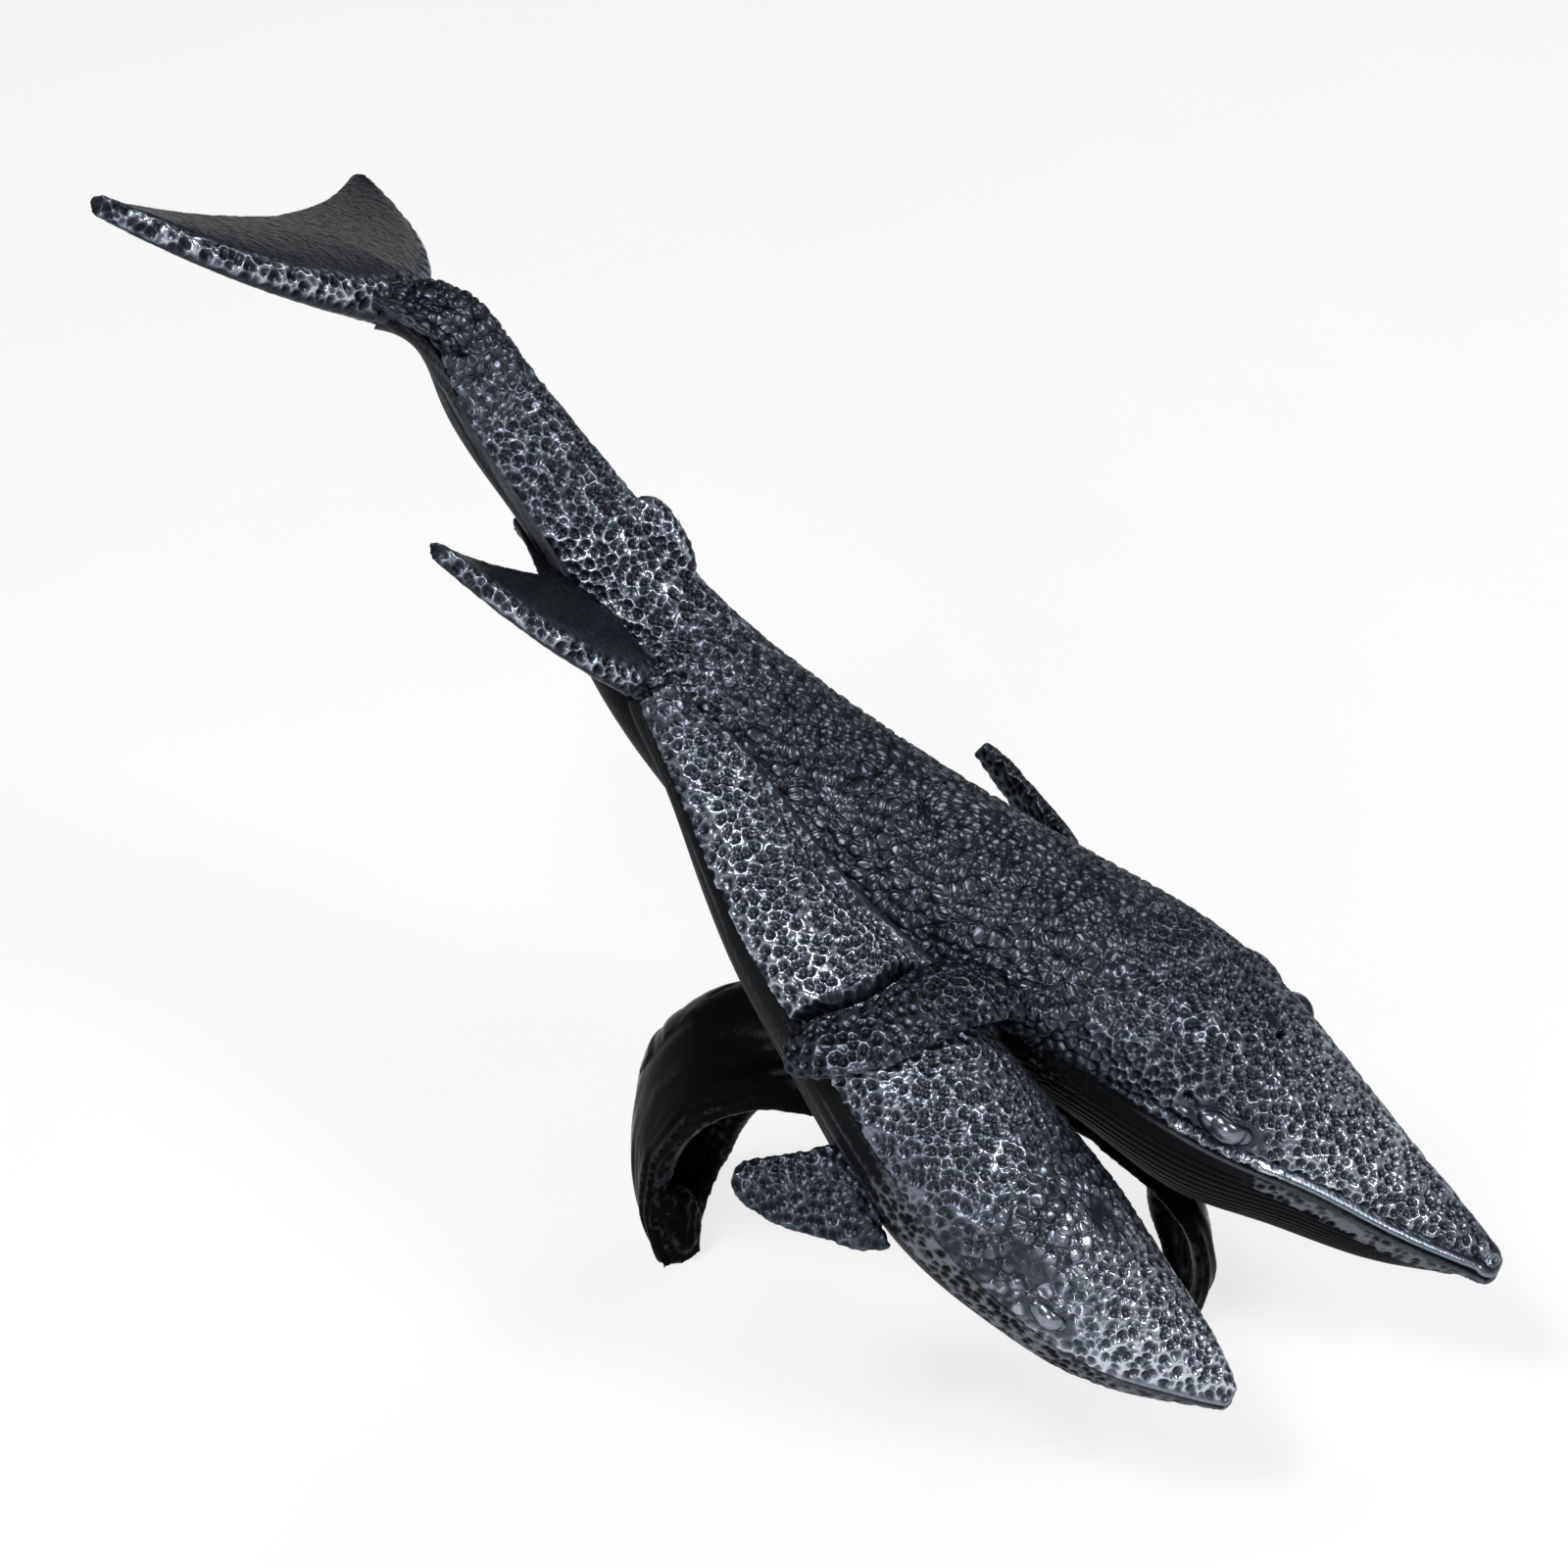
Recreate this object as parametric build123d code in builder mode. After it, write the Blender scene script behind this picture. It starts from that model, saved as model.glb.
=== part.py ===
"""Ornament of a whale and her calf, diving side by side over a curling wave.

Frame: +X is the mother's heading, +Y her left, +Z up, and the wave stands on Z = 0.
Each whale is a row of cross sections along a spine, from the tail to the nose, parted
along the crisp edge between the textured back and the smooth belly.
"""

import math
import os
from collections import namedtuple

from build123d import *

os.makedirs("parts", exist_ok=True)

# Driving dimensions in millimetres, and angles in degrees: the mother
mother_half_width = 32.0
mother_back_height = 31.0
mother_belly_depth = 38.0
mother_wall = 5.0
mother_fluke_span = 80.0
mother_fluke_sweep = 55.0
mother_fluke_notch = 40.0
mother_fluke_thickness = 14.0
mother_fluke_tip = 5.5
mother_fluke_pitch = 22.5
mother_fluke_roll = 25.0
mother_fluke_yaw = -4.0
mother_flipper_thickness = 7.0
mother_fin_length = 30.0
mother_fin_height = 5.0
mother_eye_radius = 5.0

# The calf
calf_half_width = 27.0
calf_back_height = 25.0
calf_belly_depth = 25.0
calf_wall = 4.0
calf_fluke_right_span = 48.0
calf_fluke_left_span = 20.0
calf_fluke_sweep = 60.0
calf_fluke_notch = 41.0
calf_fluke_thickness = 10.0
calf_fluke_tip = 5.0
calf_fluke_pitch = 33.0
calf_fluke_roll = 30.0
calf_fluke_yaw = -8.0
calf_flipper_thickness = 6.0
calf_fin_length = 16.0
calf_fin_height = 3.0
calf_eye_radius = 4.0

# The wave: a domed crest under the mother, and three curls that stand on the floor
crest_x = -10.0
crest_y = 6.0
crest_radius = 30.0
crest_top = 92.0
crest_rim_bottom = 46.0
crest_rim_top = 60.0
crest_hollow_top = 62.0
crest_rim_width = 6.0
curl_wall = 5.5

# Fasteners and fits
dowel_radius = 2.5
dowel_length = 14.0
pin_radius = 1.8
pin_length = 18.0
tie_pin_radius = 3.0
tie_pin_length = 20.0
screw_x = (-14.0, 3.0)
screw_y = 3.0
screw_radius = 2.5
screw_reach = 28.0
screw_head_radius = 4.5
screw_head_height = 4.0
washer_radius = 6.0
washer_thickness = 1.2
washer_seat = 62.0
fit_clearance = 0.1
parting_gap = 0.3
seat_gap = 0.2

# The whales are laid out from the mother's middle, then moved so that the origin lies
# on the floor under the middle of the whole ornament
home_x = 48.0
home_y = 10.0

# A rounded quarter has handles of this share of its radius
ROUND = 0.56

# Dorsal fins: rise above the back, size and tailward lean, as shares, from root to top
FIN_LAYERS = ((-0.8, 1.0, 0.0), (0.4, 0.75, 0.06), (1.0, 0.35, 0.14))
FIN_ASPECT = 0.4

# Flukes: places out along a lobe, and shares of its thickness or span
FLUKE_PLACES = (0.0, 0.2, 0.4, 0.6, 0.8, 0.97)
FLUKE_LEAD_IN = 0.4
FLUKE_EDGE = 0.05
FLUKE_HOLLOW = 0.04
FLUKE_KNEE = 0.45
FLUKE_NOSE = 0.75
FLUKE_CAMBER = 0.6

Sizes = namedtuple("Sizes", "width back belly")
Slice = namedtuple("Slice", "x y z width back belly lip roll")
Station = namedtuple("Station", "plane width back belly lip")
Blade = namedtuple("Blade", "x y z half_width thickness")
Gutter = namedtuple("Gutter", "x y z half_width bulge wall tilt heading")

# Place of each slice, then its shares of the whale's largest sizes, the belly's share of
# the back's width, and the roll that lifts her right side
mother_rows = [
    Slice(-176, 0, 250, 0.25, 0.39, 0.16, 0.88, 28),
    Slice(-157, 0, 235, 0.30, 0.55, 0.17, 0.88, 28),
    Slice(-142, 0, 212, 0.36, 0.65, 0.17, 0.88, 27),
    Slice(-127, 0, 193, 0.44, 0.71, 0.19, 0.88, 25),
    Slice(-113, 0, 172, 0.56, 0.81, 0.31, 0.89, 21),
    Slice(-85, 0, 147, 0.75, 0.90, 0.50, 0.91, 15),
    Slice(-39, 0, 119, 0.94, 1.00, 0.71, 0.94, 8),
    Slice(14, 0, 102, 1.00, 0.90, 0.82, 0.97, 3),
    Slice(41, 0, 94, 1.00, 0.81, 0.92, 0.98, 0),
    Slice(70, 0, 80, 0.88, 0.61, 1.00, 0.98, 0),
    Slice(90, 0, 70, 0.66, 0.42, 0.84, 0.98, 0),
    Slice(114, 0, 56, 0.41, 0.26, 0.55, 0.98, 0),
    Slice(129, 0, 48, 0.22, 0.16, 0.26, 0.98, 0),
    Slice(136, 0, 43, 0.11, 0.08, 0.10, 0.98, 0),
]

calf_rows = [
    Slice(-91, -27, 174, 0.22, 0.38, 0.22, 0.88, 22),
    Slice(-82, -29, 161, 0.30, 0.46, 0.26, 0.88, 24),
    Slice(-67, -35, 144, 0.43, 0.62, 0.36, 0.89, 25),
    Slice(-46, -44, 124, 0.63, 0.76, 0.56, 0.91, 24),
    Slice(-20, -52, 106, 0.85, 0.92, 0.80, 0.94, 20),
    Slice(2, -58, 91, 0.98, 1.00, 1.00, 0.97, 14),
    Slice(22, -62, 75, 1.00, 1.00, 1.00, 0.98, 7),
    Slice(41, -64, 61, 0.89, 0.92, 0.84, 0.98, 2),
    Slice(59, -65, 49, 0.69, 0.72, 0.64, 0.98, 0),
    Slice(74, -65, 42, 0.44, 0.48, 0.42, 0.98, 0),
    Slice(82, -65, 38, 0.27, 0.31, 0.26, 0.98, 0),
    Slice(88, -65, 35, 0.12, 0.14, 0.12, 0.98, 0),
]

# Places along a spine: 6.5 is half way from slice 6 to slice 7
mother_pockets = [(4.0, 5.0, 6.0), (8.25, 9.0, 10.0)]
calf_pockets = [(3.2, 4.0, 4.6), (5.5, 6.0, 7.0, 8.0)]
mother_dowel_places = [(3.5, 0), (6.1, 15), (6.1, -15), (7.5, 18), (7.5, -18), (10.5, 0)]
calf_dowel_places = [(2.0, 0), (5.0, 10), (5.0, -10), (8.5, 0)]
tie_places = [(5.9, 5.5), (6.36, -7.0)]
mother_eye_place = (8.9, 0.94, 0.33)
calf_eye_place = (7.2, 0.96, 0.28)
mother_fin_place = 3.55
calf_fin_place = 1.6

# Flippers from the root, inside the body, to the tip
mother_right_rows = [
    Blade(16, -20, 108.5, 7, 1.0),
    Blade(10, -32, 115, 9.5, 1.0),
    Blade(4, -44, 120.5, 11, 0.95),
    Blade(-2, -57, 123, 11, 0.9),
    Blade(-11, -69, 121, 10.5, 0.8),
    Blade(-21, -75, 117, 8.5, 0.7),
    Blade(-29, -76, 112.5, 4, 0.5),
]
mother_left_rows = [
    Blade(17, 20, 104, 8.5, 1.0),
    Blade(8, 29, 108, 8.5, 1.0),
    Blade(-1, 36, 113, 8.5, 0.95),
    Blade(-11, 41, 118, 7.5, 0.85),
    Blade(-21, 44, 125, 6, 0.7),
    Blade(-28, 45, 130, 3.5, 0.5),
]
calf_right_rows = [
    Blade(8, -72, 76, 7.5, 1.0),
    Blade(-3, -81, 77, 8.5, 1.0),
    Blade(-13, -86, 79, 9, 0.9),
    Blade(-23, -90, 82, 8.5, 0.75),
    Blade(-31, -93, 85, 6, 0.6),
    Blade(-35, -94, 86, 3, 0.5),
]
calf_left_rows = [
    Blade(20, -53, 69, 7.5, 1.0),
    Blade(21, -45, 59, 8, 1.0),
    Blade(18, -43, 50, 8, 0.9),
    Blade(13, -43, 43, 6.5, 0.75),
    Blade(9, -43, 38, 3, 0.55),
]
# A blade's flat side faces away from this point
mother_right_hub = Vector(-8, -52, 86)
mother_left_hub = Vector(0, -20, 80)
calf_right_hub = Vector(-60, 30, -20)
calf_left_hub = Vector(15, -300, 50)

# Curls of the wave from the crest to the foot: the chord's middle, half its width, the
# bulge above it, the share of the wall, the lean of the bulge and where it points
rear_rows = [
    Gutter(-16, -6, 57, 22, 14.5, 1.0, 5, 178),
    Gutter(-30, -14, 62, 26, 18, 1.0, 8, 180),
    Gutter(-46, -20, 65, 26, 23, 1.0, 15, 178),
    Gutter(-57, -26, 59, 21, 28, 1.0, 35, 168),
    Gutter(-68, -31, 45, 16, 30, 1.0, 60, 156),
    Gutter(-76, -32, 28, 14, 24, 1.0, 85, 153),
    Gutter(-79, -37, 12, 10, 15, 1.0, 98, 153),
    Gutter(-76, -42, 0, 6.5, 8, 0.9, 90, 153),
]
front_rows = [
    Gutter(2, 8, 55, 14, 12, 1.0, 5, 8),
    Gutter(15, 8, 53, 14, 12, 1.0, 10, 10),
    Gutter(27, 7, 50, 15, 11, 1.0, 20, 18),
    Gutter(37, 4, 45, 17, 10.5, 1.0, 36, 30),
    Gutter(44, 2, 38, 18, 10, 1.0, 54, 40),
    Gutter(48, 1, 28, 17, 9.5, 0.95, 72, 46),
    Gutter(51, 0, 18, 14, 9, 0.9, 86, 48),
    Gutter(53, -2, 9, 10, 8, 0.9, 92, 48),
    Gutter(54, -3, 0, 6.5, 7, 0.9, 90, 48),
]
left_rows = [
    Gutter(-14, 13, 55, 17, 12, 1.0, 5, 120),
    Gutter(-16, 24, 57, 20, 14, 1.0, 10, 120),
    Gutter(-22, 36, 55, 18, 15, 1.0, 35, 120),
    Gutter(-28, 46, 42, 15, 13, 0.95, 60, 120),
    Gutter(-31, 51, 26, 11, 10, 0.9, 85, 120),
    Gutter(-31, 50, 10, 8, 8, 0.8, 100, 120),
    Gutter(-29, 47, 0, 6.5, 6.5, 0.75, 90, 120),
]


def point(row):
    """Place of a slice, blade or gutter row."""
    return Vector(row.x, row.y, row.z)


def spine_direction(rows, index):
    """Direction of a row of points at one of them, from its neighbours."""
    before = point(rows[max(index - 1, 0)])
    after = point(rows[min(index + 1, len(rows) - 1)])
    return (after - before).normalized()


def blend(low, high, share):
    """Value or vector part of the way from low to high."""
    return low + (high - low) * share


def station(rows, sizes, place):
    """Cross section of a whale at a place along its slices."""
    low = min(int(place), len(rows) - 2)
    share = place - low
    row = Slice(*(blend(a, b, share) for a, b in zip(rows[low], rows[low + 1])))
    forward = blend(spine_direction(rows, low), spine_direction(rows, low + 1), share)
    level = Vector(0, 0, 1).cross(forward).normalized()
    left = level.rotate(Axis((0, 0, 0), forward), -row.roll)
    plane = Plane(point(row), x_dir=left, z_dir=forward)
    width = row.width * sizes.width
    return Station(plane, width, row.back * sizes.back, row.belly * sizes.belly, row.lip)


def stations(rows, sizes):
    """Cross sections at every slice."""
    return [station(rows, sizes, index) for index in range(len(rows))]


def on_section(section, across, up):
    """Point at a place across and above the parting line of a section."""
    return section.plane.from_local_coords(Vector(across, up, 0))


def back_section(section):
    """Upper half of a section, closed by the parting line."""
    width = section.width
    height = section.back
    with BuildSketch(section.plane) as sketch:
        with BuildLine():
            Bezier((width, 0), (width, ROUND * height), (ROUND * width, height), (0, height))
            Bezier((0, height), (-ROUND * width, height), (-width, ROUND * height), (-width, 0))
            Line((-width, 0), (width, 0))
        make_face()
    return sketch.sketch


def belly_section(section):
    """Lower half of a section, closed just under the parting line."""
    width = section.width * section.lip
    depth = section.belly
    top = -parting_gap
    with BuildSketch(section.plane) as sketch:
        with BuildLine():
            Bezier((-width, top), (-width, -ROUND * depth), (-ROUND * width, -depth), (0, -depth))
            Bezier((0, -depth), (ROUND * width, -depth), (width, -ROUND * depth), (width, top))
            Line((width, top), (-width, top))
        make_face()
    return sketch.sketch


def pocket_section(section, wall, side):
    """Pocket in the back (side 1) or the belly (side -1), running on past the parting line."""
    if side > 0:
        width, height = section.width - wall, section.back - wall
    else:
        width, height = section.width * section.lip - wall, wall - section.belly
    past = -side * wall
    with BuildSketch(section.plane) as sketch:
        with BuildLine():
            Bezier((width, 0), (width, ROUND * height), (ROUND * width, height), (0, height))
            Bezier((0, height), (-ROUND * width, height), (-width, ROUND * height), (-width, 0))
            Polyline((-width, 0), (-width, past), (width, past), (width, 0))
        make_face()
    return sketch.sketch


def form_section(section, gap):
    """Whole section, larger by a gap, for cutting what lies against the body."""
    width = section.width + gap
    height = section.back + gap
    depth = section.belly + gap
    with BuildSketch(section.plane) as sketch:
        with BuildLine():
            Bezier((width, 0), (width, ROUND * height), (ROUND * width, height), (0, height))
            Bezier((0, height), (-ROUND * width, height), (-width, ROUND * height), (-width, 0))
            Bezier((-width, 0), (-width, -ROUND * depth), (-ROUND * width, -depth), (0, -depth))
            Bezier((0, -depth), (ROUND * width, -depth), (width, -ROUND * depth), (width, 0))
        make_face()
    return sketch.sketch


def fin_sections(section, length, height):
    """Low dorsal fin: ellipses from inside the back up to a narrow top, leaning tailward."""
    sections = []
    for rise, size, lean in FIN_LAYERS:
        base = on_section(section, 0, section.back + rise * height)
        origin = base - section.plane.z_dir * (lean * length)
        plane = Plane(origin, x_dir=section.plane.z_dir, z_dir=section.plane.y_dir)
        with BuildSketch(plane) as sketch:
            Ellipse(size * length / 2, FIN_ASPECT * size * length / 2)
        sections.append(sketch.sketch)
    return sections


def fluke_frame(tail, pitch, roll, yaw):
    """Plane of the flukes: X runs tailward, Z is their upper side."""
    pitch, yaw = math.radians(pitch), math.radians(yaw)
    forward = Vector(
        math.cos(pitch) * math.cos(yaw), math.cos(pitch) * math.sin(yaw), -math.sin(pitch)
    )
    level = Vector(0, 0, 1).cross(forward).normalized()
    left = level.rotate(Axis((0, 0, 0), forward), -roll)
    root = on_section(tail, 0, (tail.back - tail.belly) / 2)
    return Plane(root, x_dir=-forward, z_dir=forward.cross(left))


def fluke_sections(frame, span, sweep, notch, thickness, tip):
    """Wing sections of one lobe from the middle to the tip; a negative span is the other lobe."""
    edge = FLUKE_EDGE * thickness
    sections = []
    for out in FLUKE_PLACES:
        bow = 0.6 * out**1.3 + 0.4 * out**5
        lead = blend(-FLUKE_LEAD_IN * thickness, sweep, bow)
        trail = blend(notch, sweep, out) - FLUKE_HOLLOW * abs(span) * math.sin(math.pi * out)
        deep = blend(tip, thickness, (1 - out) ** 1.2)
        knee = blend(lead, trail, FLUKE_KNEE)
        nose, camber = FLUKE_NOSE * deep, FLUKE_CAMBER * deep
        origin = frame.origin + frame.y_dir * (out * span)
        with BuildSketch(Plane(origin, x_dir=frame.x_dir, z_dir=frame.y_dir)) as sketch:
            with BuildLine():
                Bezier((lead, 0), (lead, nose), (knee, camber), (trail, edge))
                Line((trail, edge), (trail, -edge))
                Bezier((trail, -edge), (knee, -camber), (lead, -nose), (lead, 0))
            make_face()
        sections.append(sketch.sketch)
    return sections


def blade_sections(rows, thickness, hub):
    """Flat ellipses along a flipper, each facing away from the hub."""
    sections = []
    for index, row in enumerate(rows):
        forward = spine_direction(rows, index)
        across = (point(row) - hub).cross(forward)
        with BuildSketch(Plane(point(row), x_dir=across, z_dir=forward)) as sketch:
            Ellipse(row.half_width, row.thickness * thickness / 2)
        sections.append(sketch.sketch)
    return sections


def blade_pin(rows):
    """Plane of a flipper's pin: across the joint with the body, along the flipper."""
    return Plane(point(rows[1]), z_dir=spine_direction(rows, 1))


def gutter_sections(rows):
    """Cupped sections of one curl, bulging outward and turning down to the foot."""
    sections = []
    for row in rows:
        lean, turn = math.radians(row.tilt), math.radians(row.heading)
        ahead = Vector(math.cos(turn), math.sin(turn), 0)
        across = ahead.cross(Vector(0, 0, 1))
        outward = ahead * math.sin(lean) + Vector(0, 0, 1) * math.cos(lean)
        plane = Plane(point(row), x_dir=across, z_dir=across.cross(outward))
        width, rise = row.half_width, row.bulge
        inner = width - row.wall * curl_wall
        vault = rise - row.wall * curl_wall
        with BuildSketch(plane) as sketch:
            with BuildLine():
                Bezier((width, 0), (width, ROUND * rise), (ROUND * width, rise), (0, rise))
                Bezier((0, rise), (-ROUND * width, rise), (-width, ROUND * rise), (-width, 0))
                Line((-width, 0), (-inner, 0))
                Bezier((-inner, 0), (-inner, ROUND * vault), (-ROUND * inner, vault), (0, vault))
                Bezier((0, vault), (ROUND * inner, vault), (inner, ROUND * vault), (inner, 0))
                Line((inner, 0), (width, 0))
            make_face()
        sections.append(sketch.sketch)
    return sections


def dowel_planes(rows, sizes, places):
    """Planes of the dowels, across the parting line."""
    planes = []
    for place, across in places:
        section = station(rows, sizes, place)
        origin = on_section(section, across, 0)
        planes.append(Plane(origin, z_dir=section.plane.y_dir))
    return planes


def eye_points(rows, sizes, place, radius):
    """Centres of the two eyes, sunk by half of their radius."""
    section = station(rows, sizes, place[0])
    across = place[1] * section.width - radius / 2
    up = place[2] * section.back
    return [on_section(section, side * across, up) for side in (1, -1)]


# Places that more than one piece shares
mother_sizes = Sizes(mother_half_width, mother_back_height, mother_belly_depth)
calf_sizes = Sizes(calf_half_width, calf_back_height, calf_belly_depth)
mother_stations = stations(mother_rows, mother_sizes)
calf_stations = stations(calf_rows, calf_sizes)
mother_tail = mother_stations[0]
calf_tail = calf_stations[0]
mother_fluke_plane = fluke_frame(
    mother_tail, mother_fluke_pitch, mother_fluke_roll, mother_fluke_yaw
)
calf_fluke_plane = fluke_frame(calf_tail, calf_fluke_pitch, calf_fluke_roll, calf_fluke_yaw)
mother_fluke_pin_plane = Plane(mother_fluke_plane.origin, z_dir=mother_fluke_plane.x_dir)
calf_fluke_pin_plane = Plane(calf_fluke_plane.origin, z_dir=calf_fluke_plane.x_dir)
mother_dowel_planes = dowel_planes(mother_rows, mother_sizes, mother_dowel_places)
calf_dowel_planes = dowel_planes(calf_rows, calf_sizes, calf_dowel_places)
mother_flipper_planes = [blade_pin(mother_right_rows), blade_pin(mother_left_rows)]
calf_flipper_planes = [blade_pin(calf_right_rows), blade_pin(calf_left_rows)]
tie_planes = []
for tie_place, tie_height in tie_places:
    tie_section = station(mother_rows, mother_sizes, tie_place)
    tie_origin = on_section(tie_section, -tie_section.width, tie_height)
    tie_planes.append(Plane(tie_origin, z_dir=tie_section.plane.x_dir))
screw_points = [(x, screw_y, washer_seat) for x in screw_x]
up_from = (Align.CENTER, Align.CENTER, Align.MIN)
down_from = (Align.CENTER, Align.CENTER, Align.MAX)

# Forms that cut whatever lies against a whale
with BuildPart() as mother_form:
    loft([form_section(s, seat_gap) for s in mother_stations])

with BuildPart() as calf_form:
    loft([form_section(s, seat_gap) for s in calf_stations])

# The mother's two castings, hollow between solid bulkheads
with BuildPart() as mother_back:
    loft([back_section(s) for s in mother_stations])
    for pocket in mother_pockets:
        hollows = [station(mother_rows, mother_sizes, place) for place in pocket]
        loft([pocket_section(s, mother_wall, 1) for s in hollows], mode=Mode.SUBTRACT)
    fin_station = station(mother_rows, mother_sizes, mother_fin_place)
    loft(fin_sections(fin_station, mother_fin_length, mother_fin_height))
    with Locations(*eye_points(mother_rows, mother_sizes, mother_eye_place, mother_eye_radius)):
        Sphere(mother_eye_radius)
    with Locations(*mother_dowel_planes):
        Cylinder(dowel_radius + fit_clearance, dowel_length, mode=Mode.SUBTRACT)
    with Locations(*mother_flipper_planes, mother_fluke_pin_plane):
        Cylinder(pin_radius + fit_clearance, pin_length, mode=Mode.SUBTRACT)
    with Locations(*tie_planes):
        Cylinder(tie_pin_radius + fit_clearance, tie_pin_length, mode=Mode.SUBTRACT)

with BuildPart() as mother_belly:
    loft([belly_section(s) for s in mother_stations])
    for pocket in mother_pockets:
        hollows = [station(mother_rows, mother_sizes, place) for place in pocket]
        loft([pocket_section(s, mother_wall, -1) for s in hollows], mode=Mode.SUBTRACT)
    with Locations(*mother_dowel_planes):
        Cylinder(dowel_radius + fit_clearance, dowel_length, mode=Mode.SUBTRACT)
    with Locations(mother_fluke_pin_plane):
        Cylinder(pin_radius + fit_clearance, pin_length, mode=Mode.SUBTRACT)
    with Locations(*tie_planes):
        Cylinder(tie_pin_radius + fit_clearance, tie_pin_length, mode=Mode.SUBTRACT)
    with Locations(*screw_points):
        Cylinder(screw_radius + fit_clearance, screw_reach, align=up_from, mode=Mode.SUBTRACT)

# The calf's two castings, seated against the mother's flank
with BuildPart() as calf_back:
    loft([back_section(s) for s in calf_stations])
    for pocket in calf_pockets:
        hollows = [station(calf_rows, calf_sizes, place) for place in pocket]
        loft([pocket_section(s, calf_wall, 1) for s in hollows], mode=Mode.SUBTRACT)
    fin_station = station(calf_rows, calf_sizes, calf_fin_place)
    loft(fin_sections(fin_station, calf_fin_length, calf_fin_height))
    with Locations(*eye_points(calf_rows, calf_sizes, calf_eye_place, calf_eye_radius)):
        Sphere(calf_eye_radius)
    add(mother_form.part, mode=Mode.SUBTRACT)
    with Locations(*calf_dowel_planes):
        Cylinder(dowel_radius + fit_clearance, dowel_length, mode=Mode.SUBTRACT)
    with Locations(calf_fluke_pin_plane):
        Cylinder(pin_radius + fit_clearance, pin_length, mode=Mode.SUBTRACT)
    with Locations(*tie_planes):
        Cylinder(tie_pin_radius + fit_clearance, tie_pin_length, mode=Mode.SUBTRACT)

with BuildPart() as calf_belly:
    loft([belly_section(s) for s in calf_stations])
    for pocket in calf_pockets:
        hollows = [station(calf_rows, calf_sizes, place) for place in pocket]
        loft([pocket_section(s, calf_wall, -1) for s in hollows], mode=Mode.SUBTRACT)
    add(mother_form.part, mode=Mode.SUBTRACT)
    with Locations(*calf_dowel_planes):
        Cylinder(dowel_radius + fit_clearance, dowel_length, mode=Mode.SUBTRACT)
    with Locations(*calf_flipper_planes, calf_fluke_pin_plane):
        Cylinder(pin_radius + fit_clearance, pin_length, mode=Mode.SUBTRACT)
    with Locations(*tie_planes):
        Cylinder(tie_pin_radius + fit_clearance, tie_pin_length, mode=Mode.SUBTRACT)

# Flukes, butted on the tails and carried by a pin
with BuildPart() as mother_flukes:
    for span in (mother_fluke_span, -mother_fluke_span):
        loft(
            fluke_sections(
                mother_fluke_plane,
                span,
                mother_fluke_sweep,
                mother_fluke_notch,
                mother_fluke_thickness,
                mother_fluke_tip,
            )
        )
    add(mother_form.part, mode=Mode.SUBTRACT)
    with Locations(mother_fluke_pin_plane):
        Cylinder(pin_radius + fit_clearance, pin_length, mode=Mode.SUBTRACT)

with BuildPart() as calf_flukes:
    for span in (calf_fluke_right_span, -calf_fluke_left_span):
        loft(
            fluke_sections(
                calf_fluke_plane,
                span,
                calf_fluke_sweep,
                calf_fluke_notch,
                calf_fluke_thickness,
                calf_fluke_tip,
            )
        )
    add(calf_form.part, mode=Mode.SUBTRACT)
    add(mother_form.part, mode=Mode.SUBTRACT)
    with Locations(calf_fluke_pin_plane):
        Cylinder(pin_radius + fit_clearance, pin_length, mode=Mode.SUBTRACT)

# Flippers, butted on the flanks
with BuildPart() as mother_right_flipper:
    loft(blade_sections(mother_right_rows, mother_flipper_thickness, mother_right_hub))
    add(mother_form.part, mode=Mode.SUBTRACT)
    add(calf_form.part, mode=Mode.SUBTRACT)
    with Locations(mother_flipper_planes[0]):
        Cylinder(pin_radius + fit_clearance, pin_length, mode=Mode.SUBTRACT)

with BuildPart() as mother_left_flipper:
    loft(blade_sections(mother_left_rows, mother_flipper_thickness, mother_left_hub))
    add(mother_form.part, mode=Mode.SUBTRACT)
    with Locations(mother_flipper_planes[1]):
        Cylinder(pin_radius + fit_clearance, pin_length, mode=Mode.SUBTRACT)

with BuildPart() as calf_right_flipper:
    loft(blade_sections(calf_right_rows, calf_flipper_thickness, calf_right_hub))
    add(calf_form.part, mode=Mode.SUBTRACT)
    with Locations(calf_flipper_planes[0]):
        Cylinder(pin_radius + fit_clearance, pin_length, mode=Mode.SUBTRACT)

with BuildPart() as calf_left_flipper:
    loft(blade_sections(calf_left_rows, calf_flipper_thickness, calf_left_hub))
    add(calf_form.part, mode=Mode.SUBTRACT)
    with Locations(calf_flipper_planes[1]):
        Cylinder(pin_radius + fit_clearance, pin_length, mode=Mode.SUBTRACT)

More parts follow.
